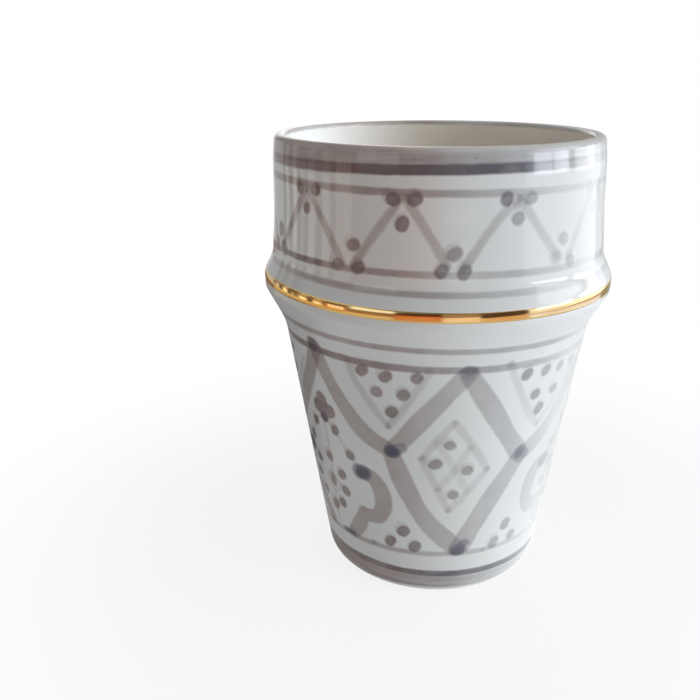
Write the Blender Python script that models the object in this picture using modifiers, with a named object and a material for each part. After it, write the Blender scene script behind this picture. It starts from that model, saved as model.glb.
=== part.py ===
"""Hand-painted ceramic cup: a turned clay body, its glaze coat and a gold band on the collar.

Metres, +Z up. The cup turns about Z and stands on z = 0, so the origin is the centre of its foot.
Every piece is a section in (radius, height), turned a full circle.
"""

import math

import bpy
from mathutils import Vector

# Outside of the cup: heights stack up from the foot, and each radius steps from the one before
WAIST_HEIGHT = 0.0672
COLLAR_RISE = 0.0074
COLLAR_LAND = 0.0036
SHOULDER_RISE = 0.0031
MOUTH_HEIGHT = 0.0287
RIM_RADIUS = 0.0386
SHOULDER_FLARE = 0.0013
COLLAR_STEP = 0.0015
COLLAR_OVERHANG = 0.0037
FOOT_RADIUS = 0.0273
SHOULDER_ROUND = 0.005
COLLAR_ROUND = 0.0022
WAIST_ROUND = 0.018
FOOT_ROUND = 0.005

# Inside of the cup
LIP_THICKNESS = 0.0029
WALL_THICKNESS = 0.0034
MOUTH_ROUND = 0.020
FLOOR_THICKNESS = 0.0048
FLOOR_ROUND = 0.006

# Underside
FOOT_RING_WIDTH = 0.0036
RECESS_DEPTH = 0.0014
RECESS_ROUND = 0.0012

# Coats. The glaze stops part of the way up the foot's rounding and leaves its lower edge bare
GLAZE_THICKNESS = 0.0004
GLAZE_LINE = math.radians(40.0)
BAND_THICKNESS = 0.0003
BAND_EDGE = 0.0001
COAT_GAP = 0.0003

# Fineness of the facets
TURN_STEPS = 48
ARC_STEP = math.radians(15.0)
AXIS_MERGE = 0.00001

# A full round would leave the lip no top at all, so its two arcs stop just short of each other
LIP_ROUND_SHARE = 0.48

# Sizes that follow
LAND_LOW = WAIST_HEIGHT + COLLAR_RISE
LAND_HIGH = LAND_LOW + COLLAR_LAND
SHOULDER_HEIGHT = LAND_HIGH + SHOULDER_RISE
CUP_HEIGHT = SHOULDER_HEIGHT + MOUTH_HEIGHT
SHOULDER_RADIUS = RIM_RADIUS + SHOULDER_FLARE
COLLAR_RADIUS = SHOULDER_RADIUS + COLLAR_STEP
WAIST_RADIUS = COLLAR_RADIUS - COLLAR_OVERHANG


def left_of(direction):
    """The unit vector a quarter turn left of a direction in the (radius, height) plane."""
    return Vector((-direction.y, direction.x))


def meeting_point(point_a, direction_a, point_b, direction_b):
    """Where two straight runs cross, each given by a point and a unit direction."""
    across = direction_a.cross(direction_b)
    along = (point_b - point_a).cross(direction_b) / across
    return point_a + along * direction_a


def inset_corners(corners, distance):
    """The corners of the same outline, moved into the material on the left by a distance.

    Each straight run shifts sideways, so a convex rounding shrinks and a concave one grows.
    """
    points = [Vector(corner[:2]) for corner in corners]
    runs = [(b - a).normalized() for a, b in zip(points, points[1:])]
    shifted = [a + distance * left_of(run) for a, run in zip(points, runs)]
    moved = [(*shifted[0], 0.0)]
    for index in range(1, len(runs)):
        turn = runs[index - 1].cross(runs[index])
        point = meeting_point(shifted[index - 1], runs[index - 1], shifted[index], runs[index])
        moved.append((*point, corners[index][2] - math.copysign(distance, turn)))
    moved.append((*(points[-1] + distance * left_of(runs[-1])), 0.0))
    return moved


def corner_arc(before, corner, after, rounding):
    """Points of the arc of a given radius that is tangent to both runs at a corner."""
    run_in = (corner - before).normalized()
    run_out = (after - corner).normalized()
    turn = math.atan2(run_in.cross(run_out), run_in.dot(run_out))
    start = corner - rounding * math.tan(abs(turn) / 2) * run_in
    side = math.copysign(1.0, turn)
    centre = start + side * rounding * left_of(run_in)
    count = max(1, math.ceil(abs(turn) / ARC_STEP))
    arm = start - centre
    points = []
    for step in range(count + 1):
        angle = turn * step / count
        spun = Vector((
            arm.x * math.cos(angle) - arm.y * math.sin(angle),
            arm.x * math.sin(angle) + arm.y * math.cos(angle),
        ))
        points.append(centre + spun)
    return points


def rounded_runs(corners):
    """The outline as one list of points for each corner, in order: its arc, or the bare end point."""
    points = [Vector(corner[:2]) for corner in corners]
    runs = [[points[0]]]
    for index in range(1, len(points) - 1):
        runs.append(corner_arc(points[index - 1], points[index], points[index + 1], corners[index][2]))
    runs.append([points[-1]])
    return runs


def joined(runs):
    """One list of points from a list of runs."""
    return [point for run in runs for point in run]


def finished_corners():
    """(radius, height, rounding) of the glazed cup, from the foot up the outside and down the inside.

    The material is always on the left of the way along it.
    """
    floor_top = RECESS_DEPTH + FLOOR_THICKNESS
    cone_slope = (WAIST_RADIUS - FOOT_RADIUS) / WAIST_HEIGHT
    floor_radius = FOOT_RADIUS + cone_slope * floor_top - WALL_THICKNESS
    lip_round = LIP_ROUND_SHARE * LIP_THICKNESS
    return [
        (0.0, 0.0, 0.0),
        (FOOT_RADIUS, 0.0, FOOT_ROUND),
        (WAIST_RADIUS, WAIST_HEIGHT, WAIST_ROUND),
        (COLLAR_RADIUS, LAND_LOW, COLLAR_ROUND),
        (COLLAR_RADIUS, LAND_HIGH, COLLAR_ROUND),
        (SHOULDER_RADIUS, SHOULDER_HEIGHT, SHOULDER_ROUND),
        (RIM_RADIUS, CUP_HEIGHT, lip_round),
        (RIM_RADIUS - LIP_THICKNESS, CUP_HEIGHT, lip_round),
        (SHOULDER_RADIUS - WALL_THICKNESS, SHOULDER_HEIGHT, MOUTH_ROUND),
        (floor_radius, floor_top, FLOOR_ROUND),
        (0.0, floor_top, 0.0),
    ]


# Places in the list of finished corners
FOOT, COLLAR_LOW, COLLAR_HIGH = 1, 3, 4


def foot_sweep():
    """The angle that the foot's rounding turns through, from the resting plane up to the cone."""
    return math.atan2(WAIST_HEIGHT, WAIST_RADIUS - FOOT_RADIUS)


def foot_arc(inset, start, end):
    """A stretch of the foot's rounding between two angles of its sweep, inset into the clay."""
    flat_radius = FOOT_RADIUS - FOOT_ROUND * math.tan(foot_sweep() / 2)
    centre = Vector((flat_radius, FOOT_ROUND))
    count = max(1, math.ceil((end - start) / ARC_STEP))
    points = []
    for step in range(count + 1):
        angle = start + (end - start) * step / count
        points.append(centre + (FOOT_ROUND - inset) * Vector((math.sin(angle), -math.cos(angle))))
    return points


def glazed_outline(inset, start):
    """The outline above the glaze line, inset, starting at an angle of the foot rounding's sweep."""
    runs = rounded_runs(inset_corners(finished_corners(), inset))
    return foot_arc(inset, start, foot_sweep()) + joined(runs[FOOT + 1:])


def clay_section():
    """Foot ring, recess and bare foot edge, then the wall under the glaze, from axis to axis."""
    bare_foot = foot_arc(0.0, 0.0, GLAZE_LINE)
    ring_inside = bare_foot[0].x - FOOT_RING_WIDTH
    recess = rounded_runs([
        (0.0, RECESS_DEPTH, 0.0),
        (ring_inside - RECESS_DEPTH, RECESS_DEPTH, RECESS_ROUND),
        (ring_inside, 0.0, 0.0),
    ])
    return joined(recess) + bare_foot + glazed_outline(GLAZE_THICKNESS + COAT_GAP, GLAZE_LINE)


def glaze_section():
    """The coat's back on the clay, from the floor's centre out to the glaze line, then its face back."""
    lower_edge = GLAZE_LINE + COAT_GAP / FOOT_ROUND
    back = glazed_outline(GLAZE_THICKNESS, lower_edge)
    return back[::-1] + glazed_outline(0.0, lower_edge)


def band_section():
    """A flat hoop that covers the collar's land between its two roundings, with eased outer edges."""
    runs = rounded_runs(finished_corners())
    low = runs[COLLAR_LOW][-1].y
    high = runs[COLLAR_HIGH][0].y
    inner = COLLAR_RADIUS + COAT_GAP
    outer = inner + BAND_THICKNESS
    section = [
        (inner, low),
        (outer - BAND_EDGE, low),
        (outer, low + BAND_EDGE),
        (outer, high - BAND_EDGE),
        (outer - BAND_EDGE, high),
        (inner, high),
    ]
    return [Vector(point) for point in section]


def finish(name, colour, roughness, metallic):
    """A Principled material with one colour."""
    material = bpy.data.materials.new(name)
    material.use_nodes = True
    shader = material.node_tree.nodes["Principled BSDF"]
    shader.inputs["Base Color"].default_value = (*colour, 1.0)
    shader.inputs["Roughness"].default_value = roughness
    shader.inputs["Metallic"].default_value = metallic
    return material


def turned(name, section, material, collection, is_ring=False):
    """A named object: the section turned about Z. A ring's section closes on itself off the axis.

    A section is listed up its outer side, and the turn needs it down that side, so it is reversed.
    """
    points = [(point.x, 0.0, point.y) for point in reversed(section)]
    edges = [(index, index + 1) for index in range(len(points) - 1)]
    if is_ring:
        edges.append((len(points) - 1, 0))
    mesh = bpy.data.meshes.new(name)
    mesh.from_pydata(points, edges, [])
    mesh.materials.append(material)
    piece = bpy.data.objects.new(name, mesh)
    collection.objects.link(piece)
    screw = piece.modifiers.new("Turn", "SCREW")
    screw.axis = "Z"
    screw.angle = math.tau
    screw.steps = TURN_STEPS
    screw.render_steps = TURN_STEPS
    screw.use_merge_vertices = True
    screw.merge_threshold = AXIS_MERGE
    screw.use_smooth_shade = True
    return piece


def main():
    for old in list(bpy.data.objects):
        bpy.data.objects.remove(old)
    cup = bpy.data.collections.new("ceramic_cup")
    bpy.context.scene.collection.children.link(cup)

    clay = finish("bare_clay", (0.72, 0.66, 0.58), 0.75, 0.0)
    glaze = finish("white_glaze", (0.78, 0.79, 0.80), 0.12, 0.0)
    gold = finish("gold_lustre", (0.83, 0.55, 0.14), 0.16, 1.0)

    turned("clay_body", clay_section(), clay, cup)
    turned("glaze_coat", glaze_section(), glaze, cup)
    turned("gold_band", band_section(), gold, cup, is_ring=True)


main()
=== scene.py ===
# %% [markdown]
# # A painted cup with a gold band
# The real cup is pale clay, turned on a wheel, dipped in white glaze, painted with a soft brush and
# banded with gold. The packed solids already have its form and size. This lesson makes its surfaces:
# a finely turned glaze with every brush stroke on it, the gold film and the bare clay of the foot.

# %% Load the solids
import math

import bpy
import numpy as np
from mathutils import Matrix, Vector


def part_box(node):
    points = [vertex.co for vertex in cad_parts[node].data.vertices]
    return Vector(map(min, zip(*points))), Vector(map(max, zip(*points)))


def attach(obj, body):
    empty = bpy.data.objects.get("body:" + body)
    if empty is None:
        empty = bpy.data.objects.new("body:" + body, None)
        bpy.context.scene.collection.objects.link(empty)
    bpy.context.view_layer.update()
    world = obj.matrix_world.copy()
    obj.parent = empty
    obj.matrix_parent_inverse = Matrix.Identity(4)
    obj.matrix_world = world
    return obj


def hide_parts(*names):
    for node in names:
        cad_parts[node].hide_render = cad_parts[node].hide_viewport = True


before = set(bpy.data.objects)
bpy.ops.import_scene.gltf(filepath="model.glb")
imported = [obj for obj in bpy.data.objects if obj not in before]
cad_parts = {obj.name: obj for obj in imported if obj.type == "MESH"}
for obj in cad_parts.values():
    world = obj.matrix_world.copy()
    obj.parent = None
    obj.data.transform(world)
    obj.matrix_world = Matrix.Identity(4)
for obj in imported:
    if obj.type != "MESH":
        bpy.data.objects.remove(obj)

scene = bpy.context.scene
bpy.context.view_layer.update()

# %% [markdown]
# ## The camera
# The photograph was taken from close by, a little above the rim, with the camera tilted by a degree.
# From so near, the mouth looks wide and the foot narrow, so the distance matters more than the angle.
# The lens is given by how many pixels one radian covers at the centre.

# %% Place the camera
IMAGE_PIXELS = 700
FOCAL_PIXELS = 800.0
SENSOR_MM = 36.0
CAMERA_PLACE = (-0.02146, -0.19408, 0.12569)
CAMERA_PITCH = math.radians(19.816)
CAMERA_ROLL = math.radians(-1.149)

lens = bpy.data.cameras.new("camera")
lens.sensor_width = SENSOR_MM
lens.lens = SENSOR_MM * FOCAL_PIXELS / IMAGE_PIXELS
lens.clip_start = 0.01
camera = bpy.data.objects.new("camera", lens)
look_down = Matrix.Rotation(math.radians(90.0) - CAMERA_PITCH, 4, "X")
tilt = Matrix.Rotation(CAMERA_ROLL, 4, "Z")
camera.matrix_world = Matrix.Translation(CAMERA_PLACE) @ look_down @ tilt
scene.collection.objects.link(camera)
scene.camera = camera
print("lens", round(lens.lens, 2), "mm")

# %% [markdown]
# ## One outline for everything
# A potter's cup is one line turned about an axis: a chain of straight runs with rounded corners, from
# the middle of the foot, up the outside, over the lip and down to the middle of the floor. Its samples,
# finest where paint goes, are the rows of the mesh. A curve with a Screw modifier would turn it too, but
# its rows couldn't carry the painting, which needs to know where every point lies.

# %% Sample the outline
MM = 0.001
cup_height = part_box("glaze_coat")[1].z
collar_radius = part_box("gold_band")[1].x
glaze_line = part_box("glaze_coat")[0].z
PAINTED_ROW = 0.55 * MM
LIP_ROW = 0.30 * MM
PLAIN_ROW = 3.0 * MM
FLOOR_TOP = 6.2 * MM
FOOT_RING = 23.0 * MM
GOLD_FILM = 0.05 * MM

crest_radius = collar_radius - GOLD_FILM
# Each corner: radius, height, rounding, and the row spacing of the run that leads to it.
OUTLINE = np.array([
    (0.0, 1.4 * MM, 0.0, PLAIN_ROW),
    (18.6 * MM, 1.4 * MM, 1.0 * MM, PLAIN_ROW),
    (19.4 * MM, 0.0, 0.5 * MM, PAINTED_ROW),
    (27.3 * MM, 0.0, 5.0 * MM, PAINTED_ROW),
    (37.65 * MM, 67.2 * MM, 18.0 * MM, PAINTED_ROW),
    (crest_radius, 74.4 * MM, 2.6 * MM, PAINTED_ROW),
    (crest_radius, 77.7 * MM, 4.5 * MM, PAINTED_ROW),
    (39.75 * MM, 82.2 * MM, 7.0 * MM, PAINTED_ROW),
    (38.95 * MM, 94.0 * MM, 60.0 * MM, PAINTED_ROW),
    (38.75 * MM, 104.0 * MM, 22.0 * MM, PAINTED_ROW),
    (38.2 * MM, cup_height, 1.45 * MM, LIP_ROW),
    (35.6 * MM, cup_height, 1.1 * MM, LIP_ROW),
    (36.5 * MM, 81.3 * MM, 20.0 * MM, PLAIN_ROW),
    (24.86 * MM, FLOOR_TOP, 6.0 * MM, PLAIN_ROW),
    (0.0, FLOOR_TOP, 0.0, PLAIN_ROW),
])


def left_of(way):
    """A quarter turn left of each direction in the (radius, height) plane."""
    return np.stack([-way[..., 1], way[..., 0]], axis=-1)


def straight_rows(start, end, spacing):
    """Evenly spaced points from just past the start to the end."""
    count = max(1, math.ceil(np.linalg.norm(end - start) / spacing))
    share = np.linspace(0.0, 1.0, count + 1)[1:, None]
    return start + share * (end - start)


def rounded_outline(corners):
    """Points along straight runs, with each corner replaced by the arc tangent to both its runs.

    A corner that turns by t starts its arc at radius times tan(t / 2) before the corner, and the
    arc's centre lies one radius to the inner side of that start.
    """
    place, rounding, spacing = corners[:, :2], corners[:, 2], corners[:, 3]
    run = np.diff(place, axis=0)
    way = run / np.linalg.norm(run, axis=1, keepdims=True)
    rows = [place[:1]]
    for index in range(1, len(corners) - 1):
        way_in, way_out = way[index - 1], way[index]
        turn = math.atan2(way_in[0] * way_out[1] - way_in[1] * way_out[0], way_in @ way_out)
        start = place[index] - rounding[index] * math.tan(abs(turn) / 2) * way_in
        centre = start + math.copysign(rounding[index], turn) * left_of(way_in)
        rows.append(straight_rows(rows[-1][-1], start, spacing[index]))
        fine = min(spacing[index], spacing[index + 1])
        count = max(4, math.ceil(rounding[index] * abs(turn) / fine))
        angle = turn * np.linspace(0.0, 1.0, count + 1)[1:, None]
        arm = start - centre
        rows.append(centre + np.cos(angle) * arm + np.sin(angle) * left_of(arm))
    rows.append(straight_rows(rows[-1][-1], place[-1], spacing[-1]))
    return np.concatenate(rows)


def inset(points, distance):
    """The same line moved into the clay, which lies on its left, along its own normals."""
    way = np.gradient(points, axis=0)
    way /= np.linalg.norm(way, axis=1, keepdims=True)
    moved = points + distance * left_of(way)
    moved[:, 0] = np.where(points[:, 0] < 1e-9, 0.0, moved[:, 0])
    return moved


finished = rounded_outline(OUTLINE)
first_glazed = int(np.argmax((finished[:, 0] > FOOT_RING) & (finished[:, 1] > glaze_line)))
print("outline rows:", len(finished), "of them bare:", first_glazed)

# %% [markdown]
# ## Turning an outline into a mesh
# Every row of the outline becomes a ring of points, and neighbouring rings are joined by four-sided
# faces. The two ends lie on the axis, where a fan of triangles closes the surface. A cup made by hand
# is never quite round, so each ring is pushed in and out by less than a tenth of a millimetre. Its
# collar rises by almost a millimetre at the left, and its rim by a little over half of one.

# %% Shape the hand's unevenness
COLUMNS = 312
WOBBLE = 0.06 * MM
COLLAR_RISE = 0.8 * MM
RISE_AT = math.radians(-72.0)
RISE_SPREAD = math.radians(34.0)
RISE_LEVELS = np.array([69.0, 74.0, 78.0, 88.0]) * MM
RISE_INNER, RISE_FADE = 37.5 * MM, 1.5 * MM
RIM_LEAN = 0.56 * MM
LEAN_START = 101.0 * MM
LEAN_FADE = 6.0 * MM
CALM_RADIUS, CALM_HEIGHT = 20 * MM, 4 * MM
column_angle = math.tau * np.arange(COLUMNS) / COLUMNS


def hand_wobble(angle, height):
    """Slow radial waves, two and three to the turn and drifting with height, and a faint spiral."""
    two = np.sin(2 * angle + 31.0 * height + 0.4)
    three = np.sin(3 * angle - 47.0 * height + 2.1)
    spiral = np.sin(math.tau * height / (6.5 * MM) + angle)
    return WOBBLE * (0.6 * two + 0.4 * three + 0.1 * spiral)


def collar_rise(angle, radius, height):
    """How much higher the collar's outside lies: a bell round one side, fading out above and below it."""
    away = (angle - RISE_AT + math.pi) % math.tau - math.pi
    bell = np.exp(-((away / RISE_SPREAD) ** 2))
    on_collar = np.interp(height, RISE_LEVELS, [0.0, 1.0, 1.0, 0.0])
    outside = np.clip((radius - RISE_INNER) / RISE_FADE, 0.0, 1.0)
    return COLLAR_RISE * bell * on_collar * outside


def rim_lean(angle, height):
    """How much higher the rim lies: minus the sine of the angle times the lean, fading in from its start."""
    return -RIM_LEAN * np.sin(angle) * np.clip((height - LEAN_START) / LEAN_FADE, 0.0, 1.0)


def turned(radius, height):
    """Points at each radius and height round the axis. Angle 0 faces -Y and grows towards +X.

    The radius is pushed by the wobble, which dies out towards the axis and the foot.
    """
    calm = np.clip(np.minimum(radius / CALM_RADIUS, height / CALM_HEIGHT), 0.0, 1.0)
    reach = radius + calm * hand_wobble(column_angle, height)
    level = height + collar_rise(column_angle, radius, height) + rim_lean(column_angle, height)
    return np.stack([reach * np.sin(column_angle), -reach * np.cos(column_angle), level], axis=-1)


print("columns:", COLUMNS, "each", round(math.tau * collar_radius / COLUMNS / MM, 2), "mm wide on the collar")


# %% Turn an outline
def ring_quads(rows, columns=COLUMNS, closed=False):
    """Corner numbers of the quads between neighbouring rings, wound to face the outline's right."""
    row = np.arange(rows if closed else rows - 1)[:, None] * columns
    above = (row + columns) % (rows * columns)
    here = np.arange(columns)[None, :]
    beside = (here + 1) % columns
    corners = [row + here, row + beside, above + beside, above + here]
    return np.stack(corners, axis=-1).reshape(-1, 4)


def mesh_piece(name, points, quads, triangles):
    """A smooth object at the origin, from whole arrays of points and of corner numbers."""
    mesh = bpy.data.meshes.new(name)
    mesh.from_pydata(points.tolist(), [], quads.tolist() + triangles.tolist())
    mesh.shade_smooth()
    piece = bpy.data.objects.new(name, mesh)
    scene.collection.objects.link(piece)
    print(name, "has", len(points), "points")
    return piece


def turned_piece(name, outline):
    """A closed turned object, from an outline that starts and ends on the axis."""
    rings = turned(outline[1:-1, :1], outline[1:-1, 1:])
    rows = len(rings)
    poles = [(0.0, 0.0, outline[0, 1]), (0.0, 0.0, outline[-1, 1])]
    points = np.concatenate([rings.reshape(-1, 3), poles])
    here = np.arange(COLUMNS)
    beside = (here + 1) % COLUMNS
    top = (rows - 1) * COLUMNS
    first_pole = np.full(COLUMNS, rows * COLUMNS)
    start_fan = np.stack([first_pole, beside, here], axis=-1)
    end_fan = np.stack([top + here, top + beside, first_pole + 1], axis=-1)
    return mesh_piece(name, points, ring_quads(rows), np.concatenate([start_fan, end_fan]))


print("faces between two rings:", len(ring_quads(2)))

# %% [markdown]
# ## The glaze coat
# The glaze is a glassy skin under half a millimetre thick. Its face follows the outline from the foot's
# rounding over the lip to the middle of the floor, and its back lies on the clay. The back is never
# seen, so it keeps few rows, closer together where the line bends so that it never comes through the
# face. The face keeps all of its rows, for the painting.

# %% Make the glaze
GLAZE_THICKNESS = 0.4 * MM
BACK_MISS = 0.05 * MM
BACK_LONGEST = 20 * MM


def sparse_rows(points, miss, longest):
    """Numbers of the rows whose straight joins stay close to a line.

    A chord of length c on an arc of radius r misses it by c * c / (8 * r).
    """
    step = np.diff(points, axis=0)
    length = np.linalg.norm(step, axis=1)
    heading = np.unwrap(np.arctan2(step[:, 1], step[:, 0]))
    bend = np.abs(np.diff(heading, append=heading[-1]))
    chords = np.cumsum(np.sqrt(bend * length / (8 * miss)) + length / longest)
    crossing = np.flatnonzero(np.diff(np.floor(chords), prepend=0.0)) + 1
    return np.unique(np.concatenate([[0], crossing, [len(points) - 1]]))


face = finished[first_glazed:]
kept_rows = sparse_rows(face, BACK_MISS, BACK_LONGEST)
back = inset(face, GLAZE_THICKNESS)[kept_rows][::-1]
glaze = turned_piece("painted_glaze", np.concatenate([back, face]))
glaze_rings = len(back) + len(face) - 2
print("glaze rings:", glaze_rings, "triangles:", 2 * COLUMNS * glaze_rings)

# %% [markdown]
# ## A flat map of the glaze
# A game or a viewer can't run this lesson's brush work, so it has to be baked into pictures laid over
# the surface, and this map is for that. It unrolls the cup like a label: across by the angle, and up by
# the distance walked along the outline. The painted outside gets most of it.

# %% Unroll the glaze
OUTSIDE_SHARE = 0.74
INSIDE_SHARE = 0.96
MAP_GAP = 0.004


def path_length(points):
    """Distance walked along a line of points, from its first."""
    step = np.linalg.norm(np.diff(points, axis=0), axis=1)
    return np.concatenate([[0.0], np.cumsum(step)])


def unroll(piece, shares):
    """A UV map without overlaps: u is the share of a turn, and v is the share given for each row.

    Every face is a run of u and v by turns, one pair for each of its corners.
    """
    here = np.arange(COLUMNS)[None, :] / COLUMNS
    beside = here + 1.0 / COLUMNS
    middle = (here + beside) / 2
    low, high = shares[1:-2, None], shares[2:-1, None]
    start, first, last, end = shares[[0, 1, -2, -1]]
    quads = (here, low, beside, low, beside, high, here, high)
    start_fan = (middle, start, beside, first, here, first)
    end_fan = (here, last, beside, last, middle, end)
    corners = [np.stack(np.broadcast_arrays(*face), axis=-1).ravel() for face in (quads, start_fan, end_fan)]
    layer = piece.data.uv_layers.new(name="OFBake")
    layer.uv.foreach_set("vector", np.concatenate(corners).astype(np.float32))


lip_row = int(np.argmax(face[:, 1]))
face_run = path_length(face)
face_share = np.interp(
    face_run, [0.0, face_run[lip_row], face_run[-1]], [0.0, OUTSIDE_SHARE, INSIDE_SHARE])
back_share = np.linspace(1.0, INSIDE_SHARE + MAP_GAP, len(back))
unroll(glaze, np.concatenate([back_share, face_share]))
print("outside:", round(face_run[lip_row] / MM, 1), "mm from foot to lip")

# %% [markdown]
# ## Brush strokes as distances
# Paint could be thin shapes laid on the glaze, but then every stroke has a hard step and no bleed. Nodes
# alone could draw it, but hundreds of strokes make a very slow material. Here each point of the mesh
# stores how far it lies outside the nearest brush edge, in millimetres, and how strong that stroke is.
# The material turns the distance into a soft, slightly ragged edge. Strokes that cross are kept on
# separate layers, so that they darken where they overlap, as thin washes do.

# %% Prepare the layers
FAR = 4.0
STEP_DEGREES = 360.0 / COLUMNS
PAINT_PAST_LIP = 8
outer = slice(0, lip_row + PAINT_PAST_LIP)
outer_radius = face[outer, 0] / MM
outer_run = face_run[outer] / MM
outer_height = face[outer, 1] / MM
draw = np.random.default_rng(20)


def run_at(height):
    """Distance walked from the foot line to a height on the outside, both in millimetres."""
    return np.interp(height, outer_height[:lip_row], outer_run[:lip_row])


class PaintLayer:
    """How far each point of the outside lies from the nearest brush edge, and that stroke's strength."""

    def __init__(self, name):
        self.name = name
        self.edge = np.full((len(outer_run), COLUMNS), FAR)
        self.load = np.zeros((len(outer_run), COLUMNS))

    def lay(self, path, half, load):
        """Lays a stroke along (degrees, height) points with a half width and strength at each of them.

        A point's distance to the edge is the least, over the path, of its distance to a path point
        less the half width there. Across is radius times angle; up is the walk along the outline.
        """
        angle, run = path[:, 0], run_at(path[:, 1])
        margin = FAR + np.max(half)
        spread = math.degrees(margin / np.min(outer_radius))
        first = math.floor((angle.min() - spread) / STEP_DEGREES)
        last = math.ceil((angle.max() + spread) / STEP_DEGREES)
        columns = np.arange(first, last + 1)
        rows = np.flatnonzero((outer_run > run.min() - margin) & (outer_run < run.max() + margin))
        turn = np.radians(columns[None, :, None] * STEP_DEGREES - angle)
        across = outer_radius[rows][:, None, None] * turn
        up = outer_run[rows][:, None, None] - run
        away = np.hypot(across, up) - half
        nearest = np.argmin(away, axis=-1)
        edge = np.min(away, axis=-1)
        window = np.ix_(rows, columns % COLUMNS)
        closer = edge < self.edge[window]
        strength = np.broadcast_to(load, angle.shape)[nearest]
        self.edge[window] = np.minimum(edge, self.edge[window])
        self.load[window] = np.where(closer, strength, self.load[window])


LAYERS = [
    "rising", "falling", "thin_rising", "thin_falling", "rings", "dots", "halos", "blots", "cores", "wash",
]
layers = {name: PaintLayer(name) for name in LAYERS}
print("layers:", ", ".join(layers))

# %% Prepare the brush
DAB_TRIM = 0.12
HALO_LOAD = 0.22


def brush_path(points):
    """A smooth curve through the points, whose slope at a point is half the step between its neighbours."""
    points = np.asarray(points, dtype=float)
    before, after = 2 * points[:1] - points[1:2], 2 * points[-1:] - points[-2:-1]
    padded = np.concatenate([before, points, after])
    reach = np.abs(np.diff(points, axis=0)).sum()
    share = np.linspace(0.0, len(points) - 1.0, max(6, int(3 * reach)))
    index = np.minimum(share.astype(int), len(points) - 2)
    u = (share - index)[:, None]
    p0, p1, p2, p3 = (padded[index + offset] for offset in range(4))
    bend = (2 * p0 - 5 * p1 + 4 * p2 - p3) * u**2 + (3 * p1 - p0 - 3 * p2 + p3) * u**3
    return 0.5 * (2 * p1 + (p2 - p0) * u + bend)


def stroke(layer, points, half, load, ends=(0.9, 0.8)):
    """A brush stroke: full width in the middle, narrower by the given shares at its start and end."""
    path = brush_path(points)
    share = np.linspace(0.0, 1.0, len(path))
    swell = np.interp(share, [0.0, 0.12, 0.85, 1.0], [ends[0], 1.0, 1.0, ends[1]])
    breath = 1.0 + 0.05 * np.sin(math.tau * (1.7 * share + draw.random()))
    weight = np.interp(share, [0.0, 0.1, 0.7, 1.0], [1.12, 1.0, 0.97, 1.04])
    layers[layer].lay(path, half * swell * breath, load * weight)


def dot(angle, height, radius, load, halo=True, tall=0.0):
    """A dab of the brush tip: a short slanted stroke, and a paler smear up and to the left behind it."""
    slant, lean = draw.uniform(0.1, 0.5), draw.uniform(-0.2, 0.6)
    rise = lean * 0.5 + tall
    path = np.array([(angle - slant, height - rise), (angle + slant, height + rise)])
    size = radius * draw.uniform(0.93, 1.04)
    dab_path = brush_path(path)
    layers["dots"].lay(dab_path, np.full(len(dab_path), size - DAB_TRIM), load * draw.uniform(0.9, 1.1))
    if halo:
        smear = path + (draw.uniform(-1.1, -0.2), draw.uniform(0.2, 0.9))
        strength = HALO_LOAD * draw.uniform(0.7, 1.2)
        layers["halos"].lay(brush_path(smear), np.full(len(dab_path), size), strength)


def blot(layer, angle, height, radius, load, stretch):
    """A pool of dark bluish colour where strokes meet or a stroke begins."""
    path = brush_path([(angle - stretch, height), (angle + stretch, height + 0.2)])
    layers[layer].lay(path, np.full(len(path), radius), load)


print("a short stroke has", len(brush_path([(0, 0), (2, 2)])), "path points")

# %% [markdown]
# ## Painted rings and washes
# The rings were painted with the cup turning under a still brush, so they are even, but each sits a
# little lower on one side. The grey wash on the lip runs over its edge, and the one at the foot stops
# above the bare clay.

# %% Paint the rings
# Each ring: height at the front, width, rise towards +X, strength, share of the collar's rise it follows.
RINGS = [
    (105.8, 2.0, -0.10, 0.98, 0.0),
    (101.3, 1.5, -0.76, 0.60, 0.0),
    (85.2, 1.5, -0.85, 0.70, 0.0),
    (81.3, 1.4, -0.65, 0.54, 1.3),
    (68.7, 1.6, -1.17, 0.60, 0.0),
    (64.0, 1.75, -0.82, 0.75, 0.0),
    (13.6, 1.45, 0.00, 0.48, 0.0),
    (7.35, 1.75, -0.25, 0.94, 0.0),
]
# Where a ring was painted with more or less colour: ring, degrees, spread, share added.
TOUCHES = [
    (105.8, 33, 9, -0.25), (85.2, 0, 14, -0.38), (85.2, -50, 12, 0.25), (81.3, -62, 10, -0.35),
    (68.7, 46, 10, 0.45),
]
RING_SWAY, RING_SWELL, RING_CLOUD = 0.07, 0.10, 0.14
LIP_WASH_FROM, LIP_WASH_RISE, LIP_WASH_OVER, LIP_WASH_LOAD = 106.2, -0.10, 1.8, 0.60
FOOT_WASH_FROM, FOOT_WASH_TO, FOOT_WASH_SWAY = 2.7, 6.9, 0.2
FOOT_WASH_LOAD, FOOT_WASH_LOAD_RISE = 0.55, -0.34
WASH_CLOUD = 0.10
around = column_angle
front_turn = (np.degrees(around) + 180.0) % 360.0 - 180.0


def slow_wave(turns):
    """A gentle random wave round the cup, made of a few sines with whole numbers of turns."""
    count = np.arange(1, turns + 1)[:, None]
    phase = draw.uniform(0.0, math.tau, (turns, 1))
    size = draw.uniform(0.3, 1.0, (turns, 1)) / np.sqrt(count)
    return (size * np.sin(count * around + phase)).sum(axis=0) / np.sqrt(turns)


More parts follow.
